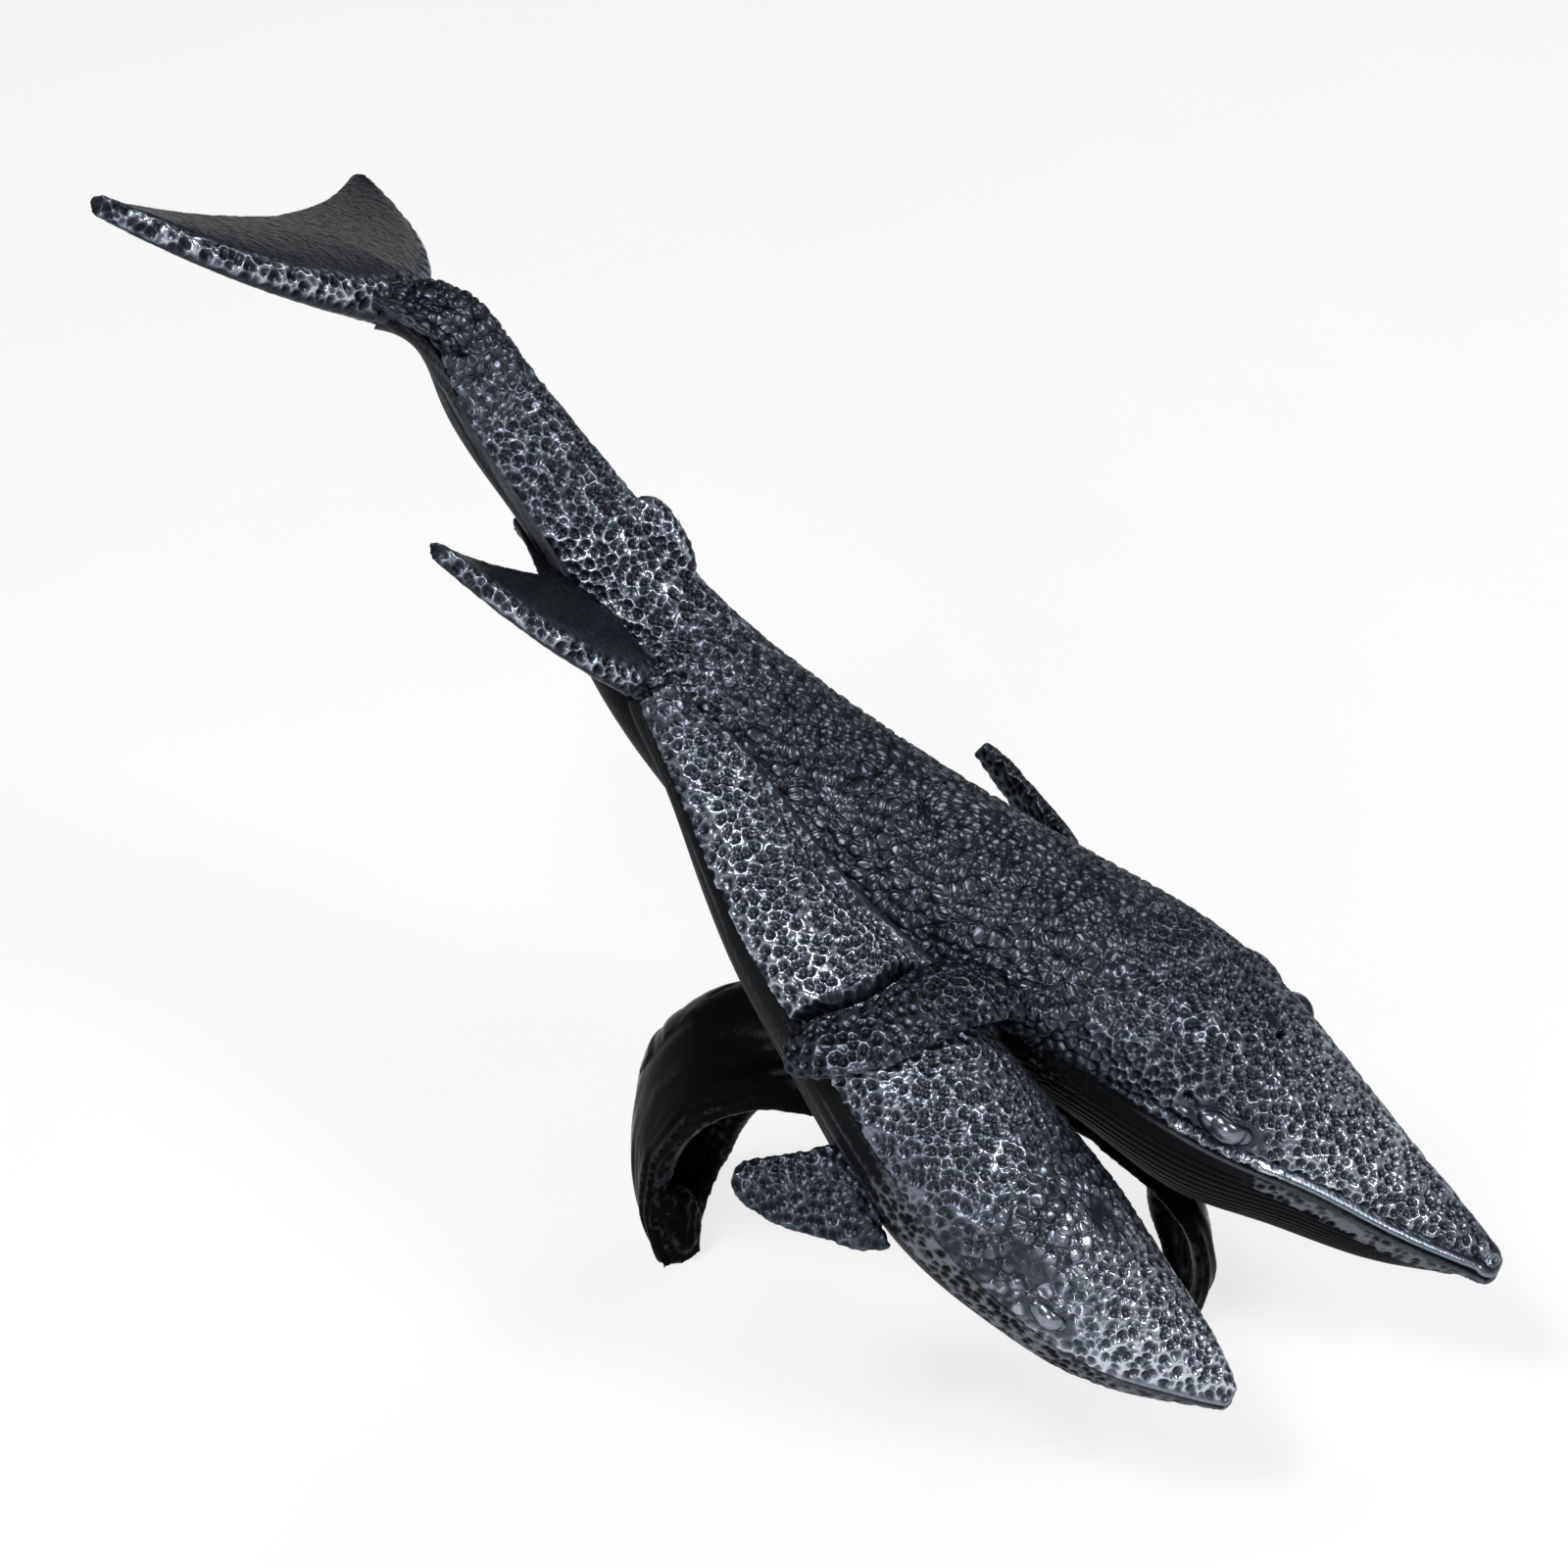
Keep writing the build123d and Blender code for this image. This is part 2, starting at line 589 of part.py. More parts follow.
# The wave: crest, three curls, the mother's saddle and the screw holes
with BuildPart() as wave_base:
    with BuildSketch(Plane((crest_x, crest_y, 0), x_dir=(1, 0, 0), z_dir=(0, -1, 0))):
        with BuildLine():
            inner_radius = crest_radius - crest_rim_width
            hollow_mid = blend(crest_hollow_top, crest_rim_bottom, 0.25)
            dome_mid = blend(crest_top, crest_rim_top, 0.25)
            Line((0, crest_top), (0, crest_hollow_top))
            ThreePointArc(
                (0, crest_hollow_top),
                (inner_radius / 2, hollow_mid),
                (inner_radius, crest_rim_bottom),
            )
            Line((inner_radius, crest_rim_bottom), (crest_radius, crest_rim_bottom))
            Line((crest_radius, crest_rim_bottom), (crest_radius, crest_rim_top))
            ThreePointArc(
                (crest_radius, crest_rim_top), (crest_radius / 2, dome_mid), (0, crest_top)
            )
        make_face()
    revolve(axis=Axis((crest_x, crest_y, 0), (0, 0, 1)))
    loft(gutter_sections(rear_rows))
    loft(gutter_sections(front_rows))
    loft(gutter_sections(left_rows))
    add(mother_form.part, mode=Mode.SUBTRACT)
    add(calf_form.part, mode=Mode.SUBTRACT)
    with Locations(*screw_points):
        Cylinder(screw_radius + fit_clearance, screw_reach, align=up_from, mode=Mode.SUBTRACT)
        Cylinder(
            washer_radius + fit_clearance, washer_seat, align=down_from, mode=Mode.SUBTRACT
        )

# Pins, dowels, screws and washers
with BuildPart() as mother_dowels:
    with Locations(*mother_dowel_planes):
        Cylinder(dowel_radius, dowel_length)

with BuildPart() as calf_dowels:
    with Locations(*calf_dowel_planes):
        Cylinder(dowel_radius, dowel_length)

with BuildPart() as mother_fluke_pin:
    with Locations(mother_fluke_pin_plane):
        Cylinder(pin_radius, pin_length)

with BuildPart() as calf_fluke_pin:
    with Locations(calf_fluke_pin_plane):
        Cylinder(pin_radius, pin_length)

with BuildPart() as mother_flipper_pins:
    with Locations(*mother_flipper_planes):
        Cylinder(pin_radius, pin_length)

with BuildPart() as calf_flipper_pins:
    with Locations(*calf_flipper_planes):
        Cylinder(pin_radius, pin_length)

with BuildPart() as calf_tie_pins:
    with Locations(*tie_planes):
        Cylinder(tie_pin_radius, tie_pin_length)

with BuildPart() as mount_washers:
    with Locations(*screw_points):
        Cylinder(washer_radius, washer_thickness, align=down_from)
        Cylinder(
            screw_radius + fit_clearance,
            washer_thickness,
            align=down_from,
            mode=Mode.SUBTRACT,
        )

with BuildPart() as mount_screws:
    with Locations(*[(x, y, z - washer_thickness) for x, y, z in screw_points]):
        Cylinder(screw_head_radius, screw_head_height, align=down_from)
        Cylinder(screw_radius, screw_reach + washer_thickness, align=up_from)

pieces = {
    "mother_back": mother_back,
    "mother_belly": mother_belly,
    "mother_flukes": mother_flukes,
    "mother_right_flipper": mother_right_flipper,
    "mother_left_flipper": mother_left_flipper,
    "mother_dowels": mother_dowels,
    "mother_fluke_pin": mother_fluke_pin,
    "mother_flipper_pins": mother_flipper_pins,
    "calf_back": calf_back,
    "calf_belly": calf_belly,
    "calf_flukes": calf_flukes,
    "calf_right_flipper": calf_right_flipper,
    "calf_left_flipper": calf_left_flipper,
    "calf_dowels": calf_dowels,
    "calf_fluke_pin": calf_fluke_pin,
    "calf_flipper_pins": calf_flipper_pins,
    "calf_tie_pins": calf_tie_pins,
    "wave_base": wave_base,
    "mount_screws": mount_screws,
    "mount_washers": mount_washers,
}
for name, piece in pieces.items():
    placed = piece.part.moved(Location((home_x, home_y, 0)))
    placed.label = name
    export_step(placed, f"parts/{name}.step")
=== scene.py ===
"""Dresses the whale ornament: cast skin, smooth bellies, a black wave, and studio light.

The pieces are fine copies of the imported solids, with their relief pushed into the mesh.
Sizes in this file are millimetres in the layout of the whales, before the ornament was moved
over the origin, and become metres only where they meet Blender.
"""

import math
from collections import namedtuple

import bmesh
import bpy
import numpy as np
from mathutils import Euler, Matrix, Vector
from mathutils.bvhtree import BVHTree


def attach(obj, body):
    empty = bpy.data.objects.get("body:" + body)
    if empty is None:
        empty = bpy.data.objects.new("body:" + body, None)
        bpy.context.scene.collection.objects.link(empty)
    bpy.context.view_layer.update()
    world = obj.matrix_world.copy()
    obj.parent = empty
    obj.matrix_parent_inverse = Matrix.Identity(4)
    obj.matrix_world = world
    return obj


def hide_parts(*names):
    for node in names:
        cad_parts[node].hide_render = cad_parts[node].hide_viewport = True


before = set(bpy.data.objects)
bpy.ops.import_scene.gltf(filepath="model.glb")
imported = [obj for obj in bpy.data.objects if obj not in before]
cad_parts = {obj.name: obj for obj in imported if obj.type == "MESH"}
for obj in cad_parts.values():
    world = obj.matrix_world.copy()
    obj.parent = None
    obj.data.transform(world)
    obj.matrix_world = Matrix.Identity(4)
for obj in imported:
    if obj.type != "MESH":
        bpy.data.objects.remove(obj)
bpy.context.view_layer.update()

Body = namedtuple("Body", "place run across angle")
Spot = namedtuple("Spot", "place across up long tall")

MM = 0.001
HOME = np.array((48.0, 10.0, 0.0))

# The slices of the two spines, from the tail to the nose: place, and the roll in degrees
MOTHER_SPINE = [
    (-176, 0, 250, 28), (-157, 0, 235, 28), (-142, 0, 212, 27), (-127, 0, 193, 25),
    (-113, 0, 172, 21), (-85, 0, 147, 15), (-39, 0, 119, 8), (14, 0, 102, 3),
    (41, 0, 94, 0), (70, 0, 80, 0), (90, 0, 70, 0), (114, 0, 56, 0), (129, 0, 48, 0),
    (136, 0, 43, 0),
]
CALF_SPINE = [
    (-91, -27, 174, 22), (-82, -29, 161, 24), (-67, -35, 144, 25), (-46, -44, 124, 24),
    (-20, -52, 106, 20), (2, -58, 91, 14), (22, -62, 75, 7), (41, -64, 61, 2),
    (59, -65, 49, 0), (74, -65, 42, 0), (82, -65, 38, 0), (88, -65, 35, 0),
]
# The curls of the wave from the crest to the foot: middle of the chord, lean and heading
REAR_CURL = [
    (-16, -6, 57, 5, 178), (-30, -14, 62, 8, 180), (-46, -20, 65, 15, 178),
    (-57, -26, 59, 35, 168), (-68, -31, 45, 60, 156), (-76, -32, 28, 85, 153),
    (-79, -37, 12, 98, 153), (-76, -42, 0, 90, 153),
]
FRONT_CURL = [
    (2, 8, 55, 5, 8), (15, 8, 53, 10, 10), (27, 7, 50, 20, 18), (37, 4, 45, 36, 30),
    (44, 2, 38, 54, 40), (48, 1, 28, 72, 46), (51, 0, 18, 86, 48), (53, -2, 9, 92, 48),
    (54, -3, 0, 90, 48),
]
LEFT_CURL = [
    (-14, 13, 55, 5, 120), (-16, 24, 57, 10, 120), (-22, 36, 55, 35, 120),
    (-28, 46, 42, 60, 120), (-31, 51, 26, 85, 120), (-31, 50, 10, 100, 120),
    (-29, 47, 0, 90, 120),
]

# Lumps that fill the castings out: middle, radii and turn
MOTHER_NOSE_TOP = ((133.4, 0, 45.7), (4.4, 5.2, 2.8), None)
MOTHER_NOSE_BOTTOM = ((132.6, 0, 42.0), (4.0, 4.6, 2.4), None)
CALF_NOSE_TOP = ((85.6, -65, 37.2), (3.8, 4.4, 2.4), None)
CALF_NOSE_BOTTOM = ((84.8, -65, 34.0), (3.6, 4.0, 2.2), None)
SHOULDER = ((14, -25, 109.5), (17, 11, 8), None)
FLUKE_TURN = Euler((math.radians(-28), math.radians(24), 0))
FLUKE_ROOT = [
    ((-174.6, 1.9, 253.2), (14, 10, 6), FLUKE_TURN),
    ((-174.6, 1.9, 253.2), (20, 14, 4), FLUKE_TURN),
    ((-174.6, 1.9, 253.2), (27, 19, 2.4), FLUKE_TURN),
]
REAR_TIP = ((-79, -38.5, 8.0), (5.5, 7.0, 14.0), None)

# The groove between the whales: how near counts as touching, its first and last place on the
# calf and the step, and the balls that fill it
SEAM_REACH = 4.0
SEAM_PLACES = (1.2, 5.2, 0.05)
SEAM_BALL = 5.5
SEAM_SINK = 2.5

# Ovals on the whales: place on the spine, distance across and up from it, length and height
MOTHER_EYE = Spot(8.9, 25.5, 6.4, 7.5, 3.2)
MOTHER_BROW = Spot(8.5, 22.0, 15.0, 7.0, 5.0)
MOTHER_HOLLOW = Spot(8.55, 25.5, 7.0, 3.0, 2.4)
BLOWHOLE_PAD = Spot(8.72, 0.01, 20.5, 4.0, 3.0)
BLOWHOLE_SLOT = Spot(8.85, 0.01, 20.0, 0.9, 2.2)
CALF_EYE = Spot(7.2, 21.5, 6.0, 5.5, 2.8)
CALF_HOLLOW = Spot(6.75, 21.0, 12.0, 9.0, 5.0)
CALF_DIP = Spot(6.9, 0.01, 23.0, 7.0, 5.5)
CALF_KNOB = Spot(7.0, 0.01, 22.0, 1.8, 1.8)

# Rows along a spine: place, and the share of pebbles in the skin or the strength of the silver
MOTHER_PEBBLES = [(0, 1.0), (0.9, 0.9), (1.7, 0.0), (4.2, 0.0), (5.2, 0.9), (7.2, 0.8), (8.2, 0.0)]
MOTHER_SILVER = [
    (0, 0.3), (2, 0.7), (3.6, 1.1), (4.4, 0.8), (5.2, 0.4), (7.5, 0.4), (8.8, 0.6), (10, 1.0),
    (12, 1.2),
]
CALF_PEBBLES = [(0, 0.8), (1.0, 0.0), (5.6, 0.0), (6.4, 0.9), (7.0, 0.7), (8.0, 0.0)]
CALF_SILVER = [
    (0, 0.6), (1.5, 1.0), (3.0, 1.3), (4.4, 0.9), (5.0, 0.6), (6.0, 0.9), (7.0, 1.7), (10.0, 1.9),
]

# Grain of the meshes, and the relief in them
SKIN_VOXEL = 0.4
WAVE_VOXEL = 0.8
CELL = 2.7
CELL_JITTER = 0.85
CELL_WANDER = 1.8
WANDER_SIZE = 7.0
JAW_CELL = 2.6
THROAT_CELL = 1.8
PEBBLE_SIZE = 1.25
SKIN_DEPTH = 0.52
FLIPPER_DEPTH = 0.8 * SKIN_DEPTH
MID_TONE = 0.18
PLEAT_ANGLE = 5.0
RIB_STEP = 3.2
BRUSH_RADIUS = 20.0
CURL_RADIUS = 14.0
FAR = 1e9

# Paint: colours from the pits to the ridges
SLATE = [
    (0.0, (0.007, 0.008, 0.0105)), (0.3, (0.052, 0.06, 0.075)), (0.6, (0.19, 0.218, 0.26)),
    (1.0, (0.58, 0.63, 0.7)),
]
CHARCOAL = [(0.0, (0.002, 0.0023, 0.0028)), (0.5, (0.008, 0.0085, 0.01)), (1.0, (0.17, 0.185, 0.21))]
JET = [(0.0, (0.001, 0.0011, 0.0012)), (0.6, (0.003, 0.0033, 0.0036)), (1.0, (0.03, 0.034, 0.04))]
STEEL = [(0.3, (0.36, 0.37, 0.39)), (0.7, (0.6, 0.61, 0.63))]
PALE = [(0.0, (0.48, 0.48, 0.48)), (1.0, (0.52, 0.52, 0.52))]
SKIN_GRAIN = 900.0
STEEL_GRAIN = 400.0
FLOOR_GRAIN = 12.0
GRAIN_DETAIL = 3.0
GRAIN_SPREAD = 0.24
GRAIN_DEPTH = 0.2
EDGE_TINT = (0.5, 0.5, 0.5, 1)
POLISHED = 0.22

STEEL_NODES = (
    "mother_dowels", "mother_fluke_pin", "mother_flipper_pins", "calf_dowels", "calf_fluke_pin",
    "calf_flipper_pins", "calf_tie_pins", "mount_screws", "mount_washers",
)

# Studio, in metres apart from the camera: a floor that curves up at its sides, and soft lights
CAMERA_AZIMUTH = 25.0
CAMERA_ELEVATION = 35.0
CAMERA_DISTANCE = 1000.0
CAMERA_TARGET = np.array((-56.39, -18.78, 150.55))
CAMERA_LENS = 90.0
CAMERA_CLIP = 20.0
FLOOR_REACH = 6.0
FLOOR_RISE = 1.0
FLOOR_STEPS = 6
FLOOR_CORNERS = ((-1, -1), (1, -1), (1, 1), (-1, 1))
FLOOR_GLOW = 1.35
FLOOR_GLOW_SHARE = 0.55
SKY_STRENGTH = 0.16
LIGHT_AIM = Vector((0, 0, 0.15))


def smoothstep(low, high, value):
    """0 below low, 1 above high, and a smooth rise between them."""
    share = np.clip((value - low) / (high - low), 0.0, 1.0)
    return share * share * (3 - 2 * share)


def fall(low, high, value):
    """1 below low, 0 above high, and a smooth fall between them."""
    return 1 - smoothstep(low, high, value)


def hump(value, middle, width):
    """1 at the middle, falling off smoothly over a width to both sides."""
    return np.exp(-(((value - middle) / width) ** 2))


def profile(place, rows):
    """Value at a place on a spine, from rows of place and value."""
    return np.interp(place, *zip(*rows))


def unit(vectors):
    """Vectors of length one."""
    return vectors / np.maximum(np.linalg.norm(vectors, axis=-1, keepdims=True), 1e-9)


def lattice(cells, seed):
    """Repeatable random numbers from 0 to 1 for whole-number cells."""
    x, y, z = (cells[..., axis].astype(np.int64) for axis in range(3))
    mixed = (x * 73856093) ^ (y * 19349663) ^ (z * 83492791) ^ (seed * 2654435761)
    mixed = (mixed ^ (mixed >> 13)) * 1274126177 & 0x7FFFFFFF
    mixed = (mixed ^ (mixed >> 16)) * 668265263 & 0x7FFFFFFF
    return (mixed ^ (mixed >> 15)) % 1000003 / 1000003.0


def noise(points, size, seed):
    """Smooth noise from 0 to 1 with lumps of a size."""
    scaled = points / size
    base = np.floor(scaled)
    share = scaled - base
    share = share * share * (3 - 2 * share)
    total = np.zeros(len(points))
    for corner in np.ndindex(2, 2, 2):
        weight = np.prod(np.where(corner, share, 1 - share), axis=1)
        total += weight * lattice(base + corner, seed)
    return total


def cells(points, size, seed):
    """Distances, in cell sizes, to the nearest and the next scattered point."""
    scaled = points / size
    base = np.floor(scaled)
    first = np.full(len(points), 9.0)
    second = np.full(len(points), 9.0)
    for step in np.ndindex(3, 3, 3):
        cell = base + np.array(step) - 1
        jitter = np.stack([lattice(cell, seed + axis) for axis in range(3)], axis=1)
        away = np.linalg.norm(cell + 0.5 + (jitter - 0.5) * CELL_JITTER - scaled, axis=1)
        second = np.minimum(second, np.maximum(first, away))
        first = np.minimum(first, away)
    return first, second


def spine_frame(spine):
    """Points of a spine, and at each the ways left and up of its cross section."""
    points = np.array([row[:3] for row in spine], float)
    last = len(points) - 1
    lefts = []
    ups = []
    for index, row in enumerate(spine):
        forward = unit(points[min(index + 1, last)] - points[max(index - 1, 0)])
        level = unit(np.cross((0, 0, 1), forward))
        rise = np.cross(forward, level)
        roll = math.radians(row[3])
        left = level * math.cos(roll) - rise * math.sin(roll)
        lefts.append(left)
        ups.append(np.cross(forward, left))
    return points, np.array(lefts), np.array(ups)


def curl_frame(curl):
    """Points of a curl, and at each the ways across its chord and out of its bulge."""
    points = np.array([row[:3] for row in curl], float)
    acrosses = []
    outs = []
    for row in curl:
        lean, turn = math.radians(row[3]), math.radians(row[4])
        ahead = np.array((math.cos(turn), math.sin(turn), 0))
        acrosses.append(np.cross(ahead, (0, 0, 1)))
        outs.append(ahead * math.sin(lean) + np.array((0, 0, math.cos(lean))))
    return points, np.array(acrosses), np.array(outs)


def along(points, path):
    """Place along a path, distance across it and distance out of it, for each point."""
    stops, sides, tops = path
    best = np.full(len(points), FAR)
    place = np.zeros(len(points))
    for index in range(len(stops) - 1):
        step = stops[index + 1] - stops[index]
        share = np.clip((points - stops[index]) @ step / (step @ step), 0, 1)
        away = np.linalg.norm(stops[index] + share[:, None] * step - points, axis=1)
        nearer = away < best
        best[nearer] = away[nearer]
        place[nearer] = index + share[nearer]
    low = np.minimum(place.astype(int), len(stops) - 2)
    share = (place - low)[:, None]
    offset = points - (stops[low] * (1 - share) + stops[low + 1] * share)
    side = unit(sides[low] * (1 - share) + sides[low + 1] * share)
    top = unit(tops[low] * (1 - share) + tops[low + 1] * share)
    return place, (offset * side).sum(1), (offset * top).sum(1)


def layout(mesh):
    """Vertices of a mesh, in millimetres in the layout of the whales."""
    points = np.empty(len(mesh.vertices) * 3)
    mesh.vertices.foreach_get("co", points)
    return points.reshape(-1, 3) / MM - HOME


def set_layout(mesh, points):
    """Puts the vertices of a mesh back."""
    mesh.vertices.foreach_set("co", ((points + HOME) * MM).ravel())
    mesh.update()


def normals_of(mesh):
    """Vertex normals of a mesh."""
    normals = np.empty(len(mesh.vertices) * 3)
    mesh.vertex_normals.foreach_get("vector", normals)
    return normals.reshape(-1, 3)


def smoothed(mesh, values, rounds, weight=1.0):
    """Values at the vertices, averaged with their neighbours a number of times."""
    edges = np.empty(len(mesh.edges) * 2, np.int64)
    mesh.edges.foreach_get("vertices", edges)
    a, b = edges.reshape(-1, 2).T
    count = len(mesh.vertices)
    degree = np.bincount(a, minlength=count) + np.bincount(b, minlength=count)
    result = np.array(values, float).reshape(count, -1)
    weight = np.broadcast_to(np.asarray(weight, float).reshape(-1, 1), (count, 1))
    for _ in range(rounds):
        total = np.empty_like(result)
        for column in range(result.shape[1]):
            total[:, column] = np.bincount(a, result[b, column], count)
            total[:, column] += np.bincount(b, result[a, column], count)
        average = total / np.maximum(degree, 1)[:, None]
        result = result + (average - result) * weight * 0.5
    return result.reshape(np.shape(values))


def fine_copy(node, name, voxel, lumps=()):
    """A fine, even mesh of a CAD node and of oval lumps that fill it out, as a new object."""
    build = bmesh.new()
    build.from_mesh(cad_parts[node].data)
    for middle, radii, turn in lumps:
        place = Matrix.LocRotScale((np.array(middle) + HOME) * MM, turn, Vector(radii) * MM)
        bmesh.ops.create_icosphere(build, subdivisions=4, radius=1.0, matrix=place)
    rough = bpy.data.objects.new(name + "_rough", bpy.data.meshes.new(name + "_rough"))
    build.to_mesh(rough.data)
    build.free()
    bpy.context.scene.collection.objects.link(rough)
    remesh = rough.modifiers.new("remesh", "REMESH")
    remesh.mode = "VOXEL"
    remesh.voxel_size = voxel * MM
    graph = bpy.context.evaluated_depsgraph_get()
    mesh = bpy.data.meshes.new_from_object(rough.evaluated_get(graph))
    mesh.name = name
    mesh.materials.clear()
    bpy.data.objects.remove(rough)
    piece = bpy.data.objects.new(name, mesh)
    bpy.context.scene.collection.objects.link(piece)
    mesh.polygons.foreach_set("use_smooth", np.ones(len(mesh.polygons), bool))
    return piece


def nearest_offset(points, node):
    """The way of each point from the nearest point of a CAD node, in millimetres."""
    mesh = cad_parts[node].data
    corners = [v.co for v in mesh.vertices]
    tree = BVHTree.FromPolygons(corners, [p.vertices for p in mesh.polygons])
    world = (points + HOME) * MM
    return (world - np.array([tree.find_nearest(Vector(p))[0] for p in world])) / MM


def nearest_distance(points, node):
    """Distance of each point from a CAD node, in millimetres."""
    return np.linalg.norm(nearest_offset(points, node), axis=1)


def paint(mesh, name, values):
    """Stores one number per vertex for a material to read."""
    attribute = mesh.attributes.new(name, "FLOAT", "POINT")
    attribute.data.foreach_set("value", np.asarray(values, np.float32))


def cast_skin(points, pebbles, size=CELL, seed=1):
    """Relief from -1 to 1 and silver from 0 to 1 of the cast skin.

    Where pebbles is 0 the skin is rounded ridges round pits, and where it is 1 it is convex
    pebbles with grooves between them.
    """
    wander = np.stack([noise(points, WANDER_SIZE, seed + 20 + axis) for axis in range(3)], axis=1)
    moved = points + (wander - 0.5) * CELL_WANDER
    first, second = cells(moved, size, seed)
    ridge = hump(second - first, 0, 0.16)
    pit = fall(0.15, 0.74, first)
    relief = 0.5 + 0.4 * ridge - 1.5 * pit
    silver = (1 - pit) ** 2 * (0.35 + 0.65 * ridge)
    if np.any(pebbles > 0):
        first, second = cells(moved, size * PEBBLE_SIZE, seed + 3)
        groove = hump(second - first, 0, 0.2)
        dome = np.sqrt(np.clip(1 - (first / 0.75) ** 2, 0, 1))
        relief = relief + (1.35 * dome - 1.0 * groove - 0.35 - relief) * pebbles
        silver = silver + (0.55 * smoothstep(0.6, 1.0, dome) - silver) * pebbles
    return relief, silver


def body_map(points, path):
    """Where points lie on a whale: place and distance along, distance across, angle from the top."""
    place, across, up = along(points, path)
    steps = np.linalg.norm(np.diff(path[0], axis=0), axis=1)
    run = np.interp(place, range(len(path[0])), np.concatenate(([0.0], np.cumsum(steps))))
    return Body(place, run, across, np.arctan2(across, up))


def spot_frame(path, place, across, up):
    """A spot on a whale: its point, and the ways ahead and round the body from it."""
    stops, sides, tops = path
    low = min(int(place), len(stops) - 2)
    share = place - low
    ahead = unit(stops[low + 1] - stops[low])
    side = unit(sides[low] * (1 - share) + sides[low + 1] * share)
    top = unit(tops[low] * (1 - share) + tops[low + 1] * share)
    middle = stops[low] * (1 - share) + stops[low + 1] * share
    out = unit(side * across + top * up)
    around = np.cross(out, ahead)
    if across > 0:
        around = -around
    return middle + side * across + top * up, ahead, around


def oval(points, path, spot, side=1):
    """Distance from the middle of an oval on a whale, 1 at its rim, and the part of it above."""
    middle, ahead, around = spot_frame(path, spot.place, side * spot.across, spot.up)
    away = points - middle
    forward = away @ ahead / spot.long
    above = away @ around / spot.tall
    deep = np.linalg.norm(away, axis=1) / (2 * max(spot.long, spot.tall))
    return np.maximum(np.hypot(forward, above), deep), above


def eye(points, path, spot, side):
    """Relief, dome and smoothness of an eye: a lens in a groove, under a raised lid."""
    ring, above = oval(points, path, spot, side)
    dome = np.sqrt(np.clip(1 - ring**2, 0, 1))
    groove = hump(ring, 1.12, 0.14)
    lid = hump(ring, 1.45, 0.2) * smoothstep(-0.6, 0.5, above)
    return 1.3 * dome - 0.3 * groove + 0.3 * lid, dome, fall(1.2, 1.7, ring)


def brushed(body, length, width, seed):
    """Noise drawn out along a whale."""
    around = body.angle * BRUSH_RADIUS
    flat = np.stack([body.run / length, around / width, np.zeros(len(around))], axis=1)
    return noise(flat, 1.0, seed)


def material_base(name):
    """New node material with its nodes, links and shader."""
    material = bpy.data.materials.new(name)
    material.use_nodes = True
    nodes = material.node_tree.nodes
    links = material.node_tree.links
    return material, nodes, links, nodes["Principled BSDF"]


def ramp(nodes, stops):
    """Colour ramp with given stops."""
    node = nodes.new("ShaderNodeValToRGB")
    elements = node.color_ramp.elements
    while len(elements) < len(stops):
        elements.new(0.5)
    for element, (position, color) in zip(elements, stops):
        element.position = position
        element.color = (*color, 1)
    return node


def grain(nodes, links, scale):
    """Noise over the object's own coordinates."""
    place = nodes.new("ShaderNodeTexCoord")
    texture = nodes.new("ShaderNodeTexNoise")
    texture.inputs["Scale"].default_value = scale
    texture.inputs["Detail"].default_value = GRAIN_DETAIL
    links.new(place.outputs["Object"], texture.inputs["Vector"])
    return texture


def skin_material(name, stops, roughness, metallic, specular):
    """Painted casting: colour by the tone of the relief, broken up by fine grain."""
    material, nodes, links, shader = material_base(name)
    tone = nodes.new("ShaderNodeAttribute")
    tone.attribute_name = "tone"
    gloss = nodes.new("ShaderNodeAttribute")
    gloss.attribute_name = "gloss"
    speck = grain(nodes, links, SKIN_GRAIN)
    spread = nodes.new("ShaderNodeMath")
    spread.operation = "MULTIPLY_ADD"
    spread.inputs[1].default_value = GRAIN_SPREAD
    spread.inputs[2].default_value = -GRAIN_SPREAD / 2
    links.new(speck.outputs["Fac"], spread.inputs[0])
    total = nodes.new("ShaderNodeMath")
    total.operation = "ADD"
    total.use_clamp = True
    links.new(tone.outputs["Fac"], total.inputs[0])
    links.new(spread.outputs[0], total.inputs[1])
    color = ramp(nodes, stops)
    links.new(total.outputs[0], color.inputs["Fac"])
    links.new(color.outputs["Color"], shader.inputs["Base Color"])
    rough = nodes.new("ShaderNodeMapRange")
    rough.inputs["To Min"].default_value = roughness[0]
    rough.inputs["To Max"].default_value = roughness[1]
    links.new(total.outputs[0], rough.inputs["Value"])
    polish = nodes.new("ShaderNodeMix")
    polish.inputs["B"].default_value = POLISHED
    links.new(gloss.outputs["Fac"], polish.inputs["Factor"])
    links.new(rough.outputs["Result"], polish.inputs["A"])
    links.new(polish.outputs["Result"], shader.inputs["Roughness"])
    shader.inputs["Metallic"].default_value = metallic
    shader.inputs["Specular IOR Level"].default_value = specular
    shader.inputs["Specular Tint"].default_value = EDGE_TINT
    bump = nodes.new("ShaderNodeBump")
    bump.inputs["Strength"].default_value = 0.25
    bump.inputs["Distance"].default_value = GRAIN_DEPTH * MM
    links.new(speck.outputs["Fac"], bump.inputs["Height"])
    links.new(bump.outputs["Normal"], shader.inputs["Normal"])
    return material


def steel_material():
    """Brushed steel of the pins and screws."""
    material, nodes, links, shader = material_base("steel")
    streak = grain(nodes, links, STEEL_GRAIN)
    color = ramp(nodes, STEEL)
    links.new(streak.outputs["Fac"], color.inputs["Fac"])
    links.new(color.outputs["Color"], shader.inputs["Base Color"])
    shader.inputs["Metallic"].default_value = 1.0
    shader.inputs["Roughness"].default_value = 0.32
    return material


